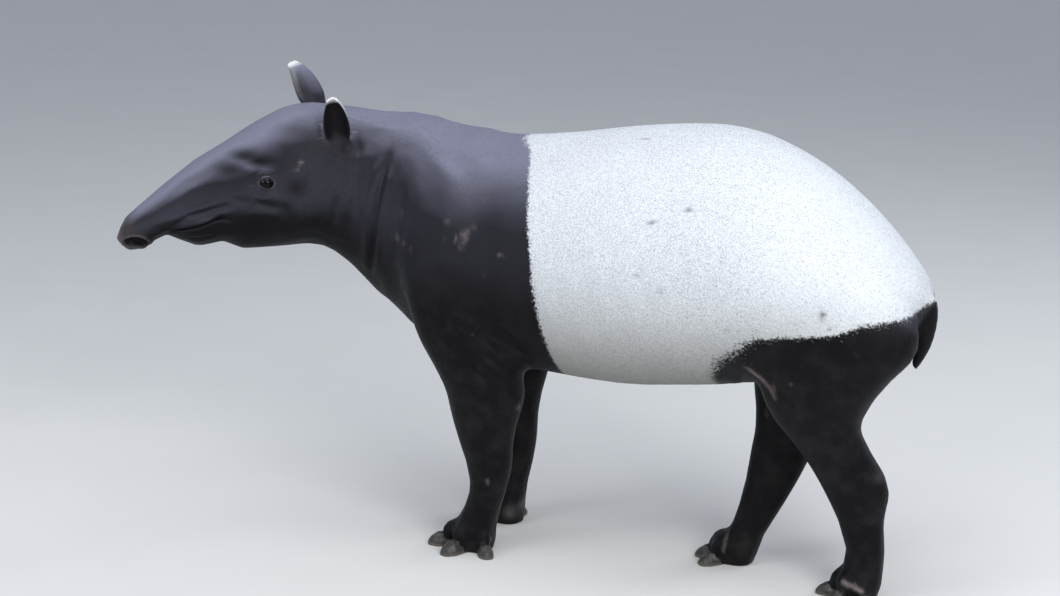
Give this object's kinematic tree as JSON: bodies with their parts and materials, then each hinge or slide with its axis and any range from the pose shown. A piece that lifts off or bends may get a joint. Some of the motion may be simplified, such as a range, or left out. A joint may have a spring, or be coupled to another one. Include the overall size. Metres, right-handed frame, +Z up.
{
  "type": "standing malayan tapir model",
  "caption": "Life-size still model of a black and white Malayan tapir, standing with its head turned a little to its left and one hind leg forward.",
  "frame": {"origin": "on the floor, under the middle of the bounding box", "axes": "+X runs along the trunk from the shoulders to the tail, +Y towards the animal's right side, +Z up"},
  "size_m": [1.7776, 0.6544, 1.0692],
  "materials": {
    "coat_black": "short glossy black hair over dark skin",
    "coat_white": "short white hair over pale grey skin",
    "eye": "wet dark brown",
    "hoof": "worn grey-brown horn"
  },
  "bodies": {
    "root": {"barrel": "coat_white", "ear_left": "coat_black", "ear_right": "coat_black", "eye_left": "eye", "eye_right": "eye", "forefoot_left": "coat_black", "forefoot_right": "coat_black", "foreleg_left": "coat_black", "foreleg_right": "coat_black", "head": "coat_black", "hindfoot_left": "coat_black", "hindfoot_right": "coat_black", "hindleg_left": "coat_black", "hindleg_right": "coat_black", "hoof_fore_left_inner": "hoof", "hoof_fore_left_middle": "hoof", "hoof_fore_left_outer": "hoof", "hoof_fore_left_small": "hoof", "hoof_fore_right_inner": "hoof", "hoof_fore_right_middle": "hoof", "hoof_fore_right_outer": "hoof", "hoof_fore_right_small": "hoof", "hoof_hind_left_inner": "hoof", "hoof_hind_left_middle": "hoof", "hoof_hind_left_outer": "hoof", "hoof_hind_right_inner": "hoof", "hoof_hind_right_middle": "hoof", "hoof_hind_right_outer": "hoof", "lower_jaw": "coat_black", "neck": "coat_black", "proboscis": "coat_black", "rump": "coat_white", "shoulders": "coat_black", "tail": "coat_black", "thighs": "coat_black"}
  },
  "joints": []
}
